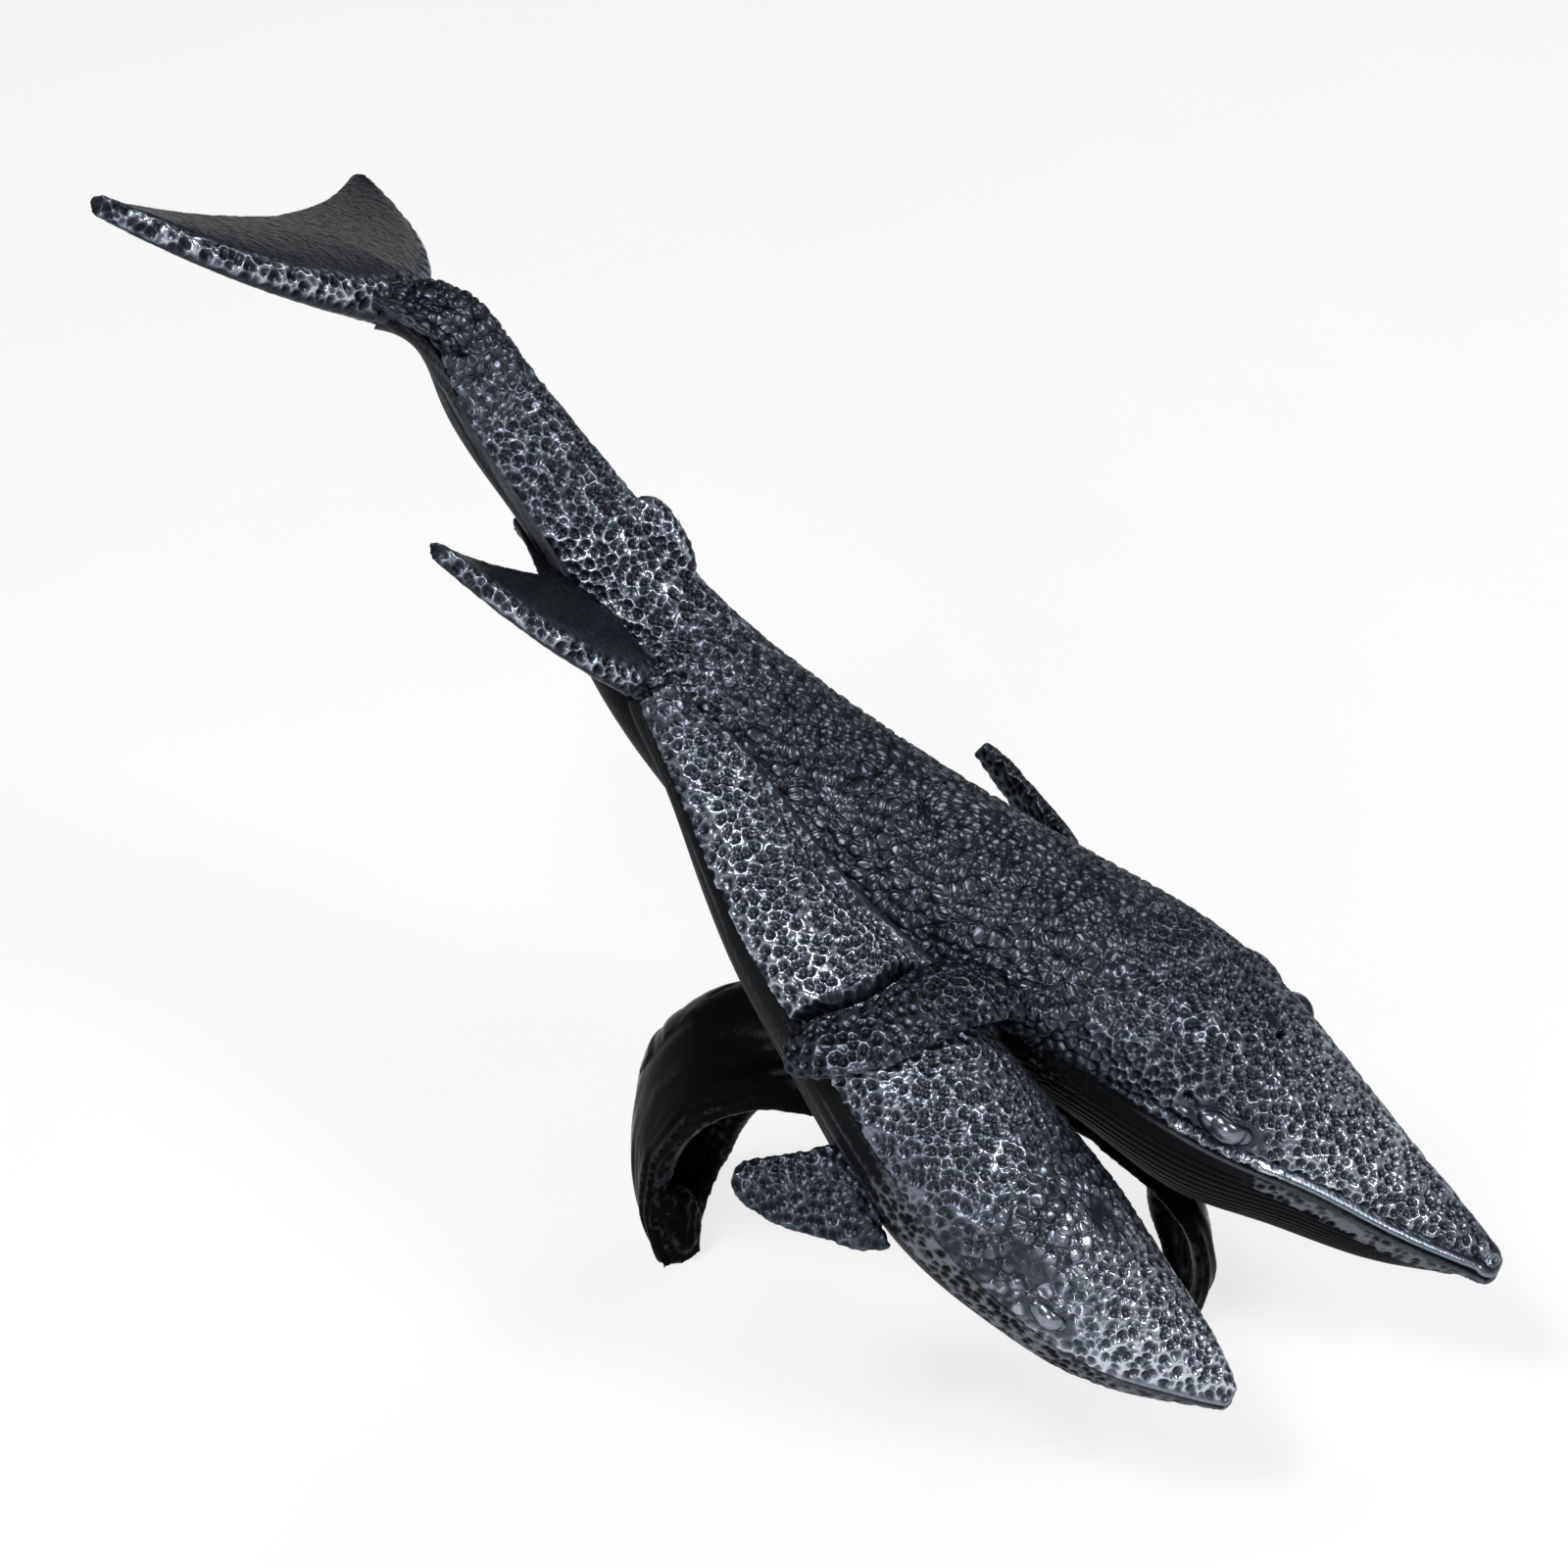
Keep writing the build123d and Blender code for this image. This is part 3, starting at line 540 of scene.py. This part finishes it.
def backdrop_share(nodes, links):
    """1 where the backdrop is seen, straight or in a reflection, and 0 where it only gives light."""
    path = nodes.new("ShaderNodeLightPath")
    seen = path.outputs["Is Camera Ray"]
    for kind in ("Is Glossy Ray", "Is Transmission Ray"):
        either = nodes.new("ShaderNodeMath")
        either.operation = "MAXIMUM"
        links.new(seen, either.inputs[0])
        links.new(path.outputs[kind], either.inputs[1])
        seen = either.outputs[0]
    return seen


def floor_material():
    """Pale floor: white where it is seen, with the ornament's shadow on it."""
    material, nodes, links, shader = material_base("floor")
    dust = grain(nodes, links, FLOOR_GRAIN)
    color = ramp(nodes, PALE)
    links.new(dust.outputs["Fac"], color.inputs["Fac"])
    links.new(color.outputs["Color"], shader.inputs["Base Color"])
    shader.inputs["Roughness"].default_value = 0.9
    glow = nodes.new("ShaderNodeEmission")
    glow.inputs["Strength"].default_value = FLOOR_GLOW
    mix = nodes.new("ShaderNodeMixShader")
    share = nodes.new("ShaderNodeMath")
    share.operation = "MULTIPLY"
    share.inputs[1].default_value = FLOOR_GLOW_SHARE
    links.new(backdrop_share(nodes, links), share.inputs[0])
    links.new(share.outputs[0], mix.inputs["Fac"])
    links.new(shader.outputs[0], mix.inputs[1])
    links.new(glow.outputs[0], mix.inputs[2])
    links.new(mix.outputs[0], nodes["Material Output"].inputs["Surface"])
    return material


slate = skin_material("slate_skin", SLATE, roughness=(0.34, 0.22), metallic=0.9, specular=0.3)
charcoal = skin_material("charcoal_belly", CHARCOAL, roughness=(0.6, 0.35), metallic=0.1, specular=0.05)
jet = skin_material("jet_wave", JET, roughness=(0.24, 0.18), metallic=0.0, specular=0.02)
steel = steel_material()

mother_path = spine_frame(MOTHER_SPINE)
calf_path = spine_frame(CALF_SPINE)
curl_paths = [curl_frame(curl) for curl in (REAR_CURL, FRONT_CURL, LEFT_CURL)]


def start_skin(node, voxel, rounds, other=None, lumps=()):
    """Fine, smoothed copy of a casting, with its points' distance from the other half."""
    piece = fine_copy(node, node + "_skin", voxel, lumps)
    points = layout(piece.data)
    edge = nearest_distance(points, other) if other else np.full(len(points), FAR)
    points = smoothed(piece.data, points, rounds, smoothstep(0.8, 2.5, edge))
    set_layout(piece.data, points)
    return piece, points, edge


def finish_skin(piece, node, material, points, height, tone, gloss=0.0):
    """Pushes the relief into the mesh, paints it and shows it in place of its node."""
    set_layout(piece.data, points + normals_of(piece.data) * height[:, None])
    paint(piece.data, "tone", np.clip(tone, 0, 1))
    paint(piece.data, "gloss", np.clip(gloss + np.zeros(len(points)), 0, 1))
    piece.data.materials.append(material)
    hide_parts(node)
    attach(piece, "root")


def mother_back():
    """The mother's textured back, with lip, eyes, brows and blowhole."""
    piece, points, edge = start_skin("mother_back", SKIN_VOXEL, 12, "mother_belly",
                                     [SHOULDER, MOTHER_NOSE_TOP])
    body = body_map(points, mother_path)
    head = smoothstep(9.2, 10.0, body.place)
    relief, silver = cast_skin(points, profile(body.place, MOTHER_PEBBLES))
    fade = smoothstep(0.1, 1.0, edge) * (1 - head) + smoothstep(2.8, 4.0, edge) * head
    brush = profile(body.place, MOTHER_SILVER) * (0.4 + 1.2 * noise(points, 18.0, 5))
    mouth = smoothstep(8.0, 8.7, body.place)
    lip = hump(edge, 1.6, 0.9) * mouth
    shaded_crease = hump(edge, 3.4, 0.6) * mouth
    height = 1.2 * lip - 0.6 * shaded_crease
    # Painted light: the head is lighter in tone from place 8.4 on, and the crease under the lip is
    # painted darker as shade.
    tone = MID_TONE + 0.1 * smoothstep(8.4, 9.6, body.place) + 0.35 * lip - 0.15 * shaded_crease
    gloss = np.zeros(len(points))
    for side in (-1, 1):
        lens, dome, smooth = eye(points, mother_path, MOTHER_EYE, side)
        height = height + 1.1 * lens * smooth
        tone = tone + 0.4 * dome
        gloss = np.maximum(gloss, dome)
        fade = fade * (1 - smooth)
        brow = oval(points, mother_path, MOTHER_BROW, side)[0]
        height = height + 1.6 * fall(0.0, 1.3, brow)
        # Painted shade: the hollow by each eye is darkened as well as sunk.
        dent = fall(0.3, 1.2, oval(points, mother_path, MOTHER_HOLLOW, side)[0])
        height = height - 1.3 * dent
        tone = tone - 0.12 * dent
    raised = fall(0.5, 1.2, oval(points, mother_path, BLOWHOLE_PAD)[0])
    hole = fall(0.6, 1.2, oval(points, mother_path, BLOWHOLE_SLOT)[0])
    height = height + 0.9 * raised - 2.2 * hole
    fade = fade * (1 - raised)
    height = height + SKIN_DEPTH * relief * fade
    # Painted shade: the blowhole slot is darkened in tone.
    tone = tone + (0.13 * relief + 0.42 * silver * brush) * fade - 0.2 * hole
    finish_skin(piece, "mother_back", slate, points, height, tone, gloss)


def mother_belly():
    """The mother's smooth belly: speckled throat, pleats and textured lower jaw."""
    piece, points, edge = start_skin("mother_belly", SKIN_VOXEL, 8, "mother_back",
                                     [MOTHER_NOSE_BOTTOM])
    body = body_map(points, mother_path)
    jaw = smoothstep(9.2, 9.9, body.place)
    lip = hump(edge, 1.7, 1.0) * smoothstep(8.0, 8.7, body.place)
    relief, silver = cast_skin(points, np.zeros(len(points)), JAW_CELL, 7)
    band = jaw * smoothstep(2.4, 3.4, edge) * fall(7.0, 9.5, edge)
    fine, glint = cast_skin(points, np.ones(len(points)), THROAT_CELL, 8)
    throat = smoothstep(5.6, 6.4, body.place) * fall(7.2, 8.2, body.place)
    throat = throat * fall(12.0, 18.0, edge)
    turns = np.abs(np.mod(np.degrees(body.angle) / PLEAT_ANGLE, 1.0) * 2 - 1)
    pleats = smoothstep(6.8, 7.6, body.place) * fall(10.6, 11.6, body.place)
    pleats = pleats * smoothstep(5.0, 8.0, edge) * (1 - band)
    lines = brushed(body, 26.0, 1.0, 4)
    height = 1.0 * lip + 0.5 * relief * band + 0.3 * fine * throat
    height = height - 0.7 * pleats * smoothstep(0.55, 1.0, turns) + 0.1 * (lines - 0.5)
    tone = 0.38 + 0.3 * (lines - 0.5) + 0.4 * lip + 0.2 * fall(3.0, 5.0, body.place)
    tone = tone + (0.25 + 0.1 * relief + 0.7 * silver) * band
    sparkle = smoothstep(0.55, 0.8, noise(points, 2.2, 12))
    tone = tone + (0.25 * fine + 0.5 * glint * sparkle - 0.12) * throat
    # Painted shade: the grooves between the pleats are darkened.
    tone = tone - 0.25 * pleats * smoothstep(0.5, 0.9, turns)
    finish_skin(piece, "mother_belly", charcoal, points, height, tone)


def seam_lumps():
    """Balls along the groove between calf and mother, which fill it out to a smooth strip."""
    points = layout(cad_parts["calf_back"].data)
    touching = points[nearest_distance(points, "mother_back") < SEAM_REACH]
    place = along(touching, calf_path)[0]
    lumps = []
    for stop in np.arange(*SEAM_PLACES):
        near = touching[np.abs(place - stop) < SEAM_PLACES[2]]
        if len(near):
            top = near[near[:, 2].argmax()]
            lumps.append((top - (0, 0, SEAM_SINK), (SEAM_BALL,) * 3, None))
    return lumps


def calf_back():
    """The calf's textured back, with its eyes, blowhole and the seam to the mother."""
    piece, points, edge = start_skin("calf_back", SKIN_VOXEL, 12, "calf_belly",
                                     seam_lumps() + [CALF_NOSE_TOP])
    body = body_map(points, calf_path)
    relief, silver = cast_skin(points, profile(body.place, CALF_PEBBLES), CELL, 2)
    head = smoothstep(7.8, 8.6, body.place)
    fade = smoothstep(0.1, 1.0, edge) * (1 - head) + smoothstep(1.8, 3.0, edge) * head
    strip = smoothstep(5.2, 5.8, body.place) * fall(8.0, 9.0, body.place)
    strip = strip * (body.across > 0) * fall(2.5, 4.0, edge)
    fillet = fall(3.0, 7.5, nearest_distance(points, "mother_back"))
    fade = fade * (1 - strip) * (1 - fillet)
    brush = profile(body.place, CALF_SILVER) * (0.5 + 1.0 * noise(points, 16.0, 15))
    lip = hump(edge, 1.3, 0.9) * head
    height = 0.7 * lip
    # Painted light: the calf's head is lighter in tone from place 6.4 on.
    tone = MID_TONE + 0.06 + 0.1 * smoothstep(6.4, 7.4, body.place)
    tone = tone + 0.3 * lip + 0.1 * strip + 0.25 * fillet
    gloss = np.zeros(len(points))
    for side in (-1, 1):
        lens, dome, smooth = eye(points, calf_path, CALF_EYE, side)
        height = height + 0.9 * lens * smooth
        gloss = np.maximum(gloss, dome)
        dent = fall(0.4, 1.2, oval(points, calf_path, CALF_HOLLOW, side)[0])
        height = height - 1.2 * dent
        fade = fade * (1 - smooth) * (1 - 0.85 * dent)
        tone = tone + 0.35 * dome
    # Painted shadow: the calf's back behind the mother's right flipper is sunk into a trench and
    # darkened, as the flipper's shadow.
    over = nearest_offset(points, "mother_right_flipper")
    behind = smoothstep(0.2, 0.7, unit(over) @ unit(calf_path[0][3] - calf_path[0][5]))
    shadowed_trench = fall(0.5, 5.0, np.linalg.norm(over, axis=1)) * behind
    height = height - 3.2 * shadowed_trench
    fade = fade * (1 - 0.7 * shadowed_trench)
    tone = tone - 0.25 * shadowed_trench
    sunk = fall(0.4, 1.2, oval(points, calf_path, CALF_DIP)[0])
    knob = fall(0.3, 1.2, oval(points, calf_path, CALF_KNOB)[0])
    height = height - 1.0 * sunk + 1.2 * knob
    fade = fade * (1 - sunk)
    height = height + SKIN_DEPTH * relief * fade
    tone = tone + (0.1 * relief + 0.42 * silver * brush) * fade
    finish_skin(piece, "calf_back", slate, points, height, tone, gloss)


def calf_belly():
    """The calf's smooth belly, with fine brushed lines along it."""
    piece, points, edge = start_skin("calf_belly", SKIN_VOXEL, 8, "calf_back",
                                     [CALF_NOSE_BOTTOM])
    body = body_map(points, calf_path)
    head = smoothstep(7.8, 8.6, body.place)
    lip = hump(edge, 1.3, 0.9) * head
    lines = brushed(body, 24.0, 0.9, 6)
    relief, silver = cast_skin(points, np.zeros(len(points)), CELL, 17)
    cheek = smoothstep(4.8, 5.6, body.place) * smoothstep(0.3, 1.2, edge)
    cheek = cheek * fall(9.0, 14.0, edge) * (1 - 0.8 * lip)
    height = 0.6 * lip + 0.12 * (lines - 0.5) + 0.4 * relief * cheek
    tone = 0.45 + 0.35 * (lines - 0.5) + 0.3 * lip + (0.12 + 0.1 * relief + 0.5 * silver) * cheek
    finish_skin(piece, "calf_belly", charcoal, points, height, tone)


def flukes(node, body_node, pitch, yaw, crest, seed, lumps=()):
    """Flukes: matte and finely grained, with pits and bright crests on the leading edge."""
    piece, points, _ = start_skin(node, SKIN_VOXEL, 10, lumps=lumps)
    pitch, yaw = math.radians(pitch), math.radians(yaw)
    ahead = np.array(
        (math.cos(pitch) * math.cos(yaw), math.cos(pitch) * math.sin(yaw), -math.sin(pitch))
    )
    above = np.array((math.sin(pitch), 0, math.cos(pitch)))
    normals = normals_of(piece.data)
    facing = normals @ ahead
    rising = normals @ above
    front = smoothstep(0.05, 0.45, facing) * smoothstep(-0.25, 0.25, rising)
    front = smoothed(piece.data, front, 6)
    root = fall(2.0, 11.0, nearest_distance(points, body_node))
    relief, silver = cast_skin(points, root, crest, seed)
    sand = noise(points, 0.9, seed + 1) + 0.6 * noise(points, 2.2, seed + 2)
    rough = np.maximum(front, root)
    height = 0.55 * relief * rough + 0.22 * (sand - 0.8) * (1 - rough)
    tone = 0.16 + 0.1 * (sand - 0.8) + 0.14 * relief * rough + 0.65 * silver * front
    finish_skin(piece, node, slate, points, height, tone)


def flipper(node, body_node, seed, shine, spread):
    """Flipper: pitted, wider where it meets the body, with a painted highlight along its lower rim."""
    piece, points, _ = start_skin(node, SKIN_VOXEL, 8)
    root = nearest_distance(points, body_node)
    away = points - points.mean(axis=0)
    wide = np.linalg.svd(away[::50], full_matrices=False)[2][1]
    widening = spread * fall(0.0, 16.0, root) * (away @ wide)
    points = points + widening[:, None] * wide
    set_layout(piece.data, points)
    normals = normals_of(piece.data)
    flare = fall(0.0, 9.0, root) ** 2
    relief, silver = cast_skin(points, 0.9 * smoothstep(0.1, 0.5, flare), CELL, seed)
    # Painted highlight: the downward-facing lower rim is made lighter in tone.
    rim = smoothed(piece.data, smoothstep(0.45, 0.8, -normals[:, 2]), 4)
    brush = shine * (0.35 + 0.8 * noise(points, 12.0, seed + 3))
    height = FLIPPER_DEPTH * relief * (1 - 0.6 * rim)
    tone = MID_TONE - 0.06 + 0.1 * relief + 0.22 * silver * brush + 0.38 * rim
    finish_skin(piece, node, slate, points, height, tone)


def wave():
    """Black curling wave: long striations down the curls, ribs inside them, and a painted highlight
    streak along the rims.
    """
    piece, points, _ = start_skin("wave_base", WAVE_VOXEL, 8, lumps=[REAR_TIP])
    best = np.full(len(points), FAR)
    drawn = np.zeros((len(points), 3))
    inside = np.zeros(len(points))
    down = np.zeros(len(points))
    for index, path in enumerate(curl_paths):
        place, across, out = along(points, path)
        turn = np.arctan2(out, across) * CURL_RADIUS
        away = np.hypot(across, out)
        closer = away < best
        best[closer] = away[closer]
        flow = np.stack([place * 1.1, turn / 3.0, np.full(len(points), 7.0 * index)], axis=1)
        drawn[closer] = flow[closer]
        inside[closer] = out[closer]
        down[closer] = place[closer]
    ridges = noise(drawn, 1.0, 31) + 0.5 * noise(drawn * (1, 2.3, 1), 1.0, 32)
    rim = fall(4.0, 10.0, inside) * smoothstep(2.5, 3.5, down)
    ribs = np.cos(2 * np.pi * inside / RIB_STEP) * rim
    # Painted highlight: the ribs and a stippled streak along the rims are made lighter in tone.
    stippled_highlight = smoothstep(0.5, 0.8, noise(points, 1.3, 33)) * rim
    height = 0.9 * (ridges - 0.75) + 0.4 * ribs
    tone = 0.35 + 0.5 * (ridges - 0.75) + 0.15 * ribs + 0.4 * stippled_highlight
    finish_skin(piece, "wave_base", jet, points, height, tone)
    settled = layout(piece.data)
    settled[:, 2] = np.maximum(settled[:, 2], 0)
    set_layout(piece.data, settled)


mother_back()
mother_belly()
calf_back()
calf_belly()
flukes("mother_flukes", "mother_back", pitch=22.5, yaw=-4.0, crest=3.2, seed=41, lumps=FLUKE_ROOT)
flukes("calf_flukes", "calf_back", pitch=33.0, yaw=-8.0, crest=2.8, seed=51)
flipper("mother_right_flipper", "mother_back", seed=61, shine=0.9, spread=0.2)
flipper("mother_left_flipper", "mother_back", seed=62, shine=0.4, spread=0.3)
flipper("calf_right_flipper", "calf_belly", seed=63, shine=1.0, spread=0.7)
flipper("calf_left_flipper", "calf_belly", seed=64, shine=0.5, spread=0.3)
wave()
for node in STEEL_NODES:
    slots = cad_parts[node].data.materials
    slots.clear()
    slots.append(steel)

# Camera at the photograph's viewing angle
azimuth, elevation = math.radians(CAMERA_AZIMUTH), math.radians(CAMERA_ELEVATION)
back = np.array((
    math.sin(azimuth) * math.cos(elevation),
    -math.cos(azimuth) * math.cos(elevation),
    math.sin(elevation),
))
camera = bpy.data.objects.new("camera", bpy.data.cameras.new("camera"))
bpy.context.scene.collection.objects.link(camera)
camera.data.lens = CAMERA_LENS
camera.data.clip_end = CAMERA_CLIP
camera.location = (CAMERA_TARGET + HOME + back * CAMERA_DISTANCE) * MM
camera.rotation_euler = Vector(back).to_track_quat("Z", "Y").to_euler()
bpy.context.scene.camera = camera

# Floor, which curves up into a backdrop on all four sides
floor_mesh = bpy.data.meshes.new("floor")
corners = []
faces = [(0, 1, 2, 3)]
for step in range(FLOOR_STEPS + 1):
    bend = math.radians(90) * step / FLOOR_STEPS
    reach = FLOOR_REACH + FLOOR_RISE * math.sin(bend)
    rise = FLOOR_RISE * (1 - math.cos(bend))
    corners += [(x * reach, y * reach, rise) for x, y in FLOOR_CORNERS]
    if step:
        inner, outer = 4 * step - 4, 4 * step
        for a, b in ((0, 1), (1, 2), (2, 3), (3, 0)):
            faces.append((inner + a, outer + a, outer + b, inner + b))
floor_mesh.from_pydata(corners, [], faces)
floor = bpy.data.objects.new("floor", floor_mesh)
bpy.context.scene.collection.objects.link(floor)
floor_mesh.materials.append(floor_material())

# Soft studio light
world = bpy.data.worlds.new("studio")
bpy.context.scene.world = world
world.use_nodes = True
sky = world.node_tree.nodes["Background"]
sky.inputs["Color"].default_value = (1, 1, 1, 1)
sky.inputs["Strength"].default_value = SKY_STRENGTH


def area_light(name, place, size, power):
    """Large soft light aimed at the ornament."""
    lamp = bpy.data.lights.new(name, "AREA")
    lamp.shape = "DISK"
    lamp.size = size
    lamp.energy = power
    light = bpy.data.objects.new(name, lamp)
    bpy.context.scene.collection.objects.link(light)
    light.location = place
    aim = LIGHT_AIM - Vector(place)
    light.rotation_euler = aim.to_track_quat("-Z", "Y").to_euler()


area_light("key", (-0.4, -0.8, 1.6), size=0.6, power=20.0)
area_light("rim", (0.3, 1.3, 1.1), size=0.7, power=6.0)
area_light("fill", (0.45, -1.6, 0.75), size=0.4, power=8.0)
area_light("front", (1.3, -0.2, 1.2), size=0.5, power=12.0)

bpy.context.scene.view_settings.view_transform = "Standard"
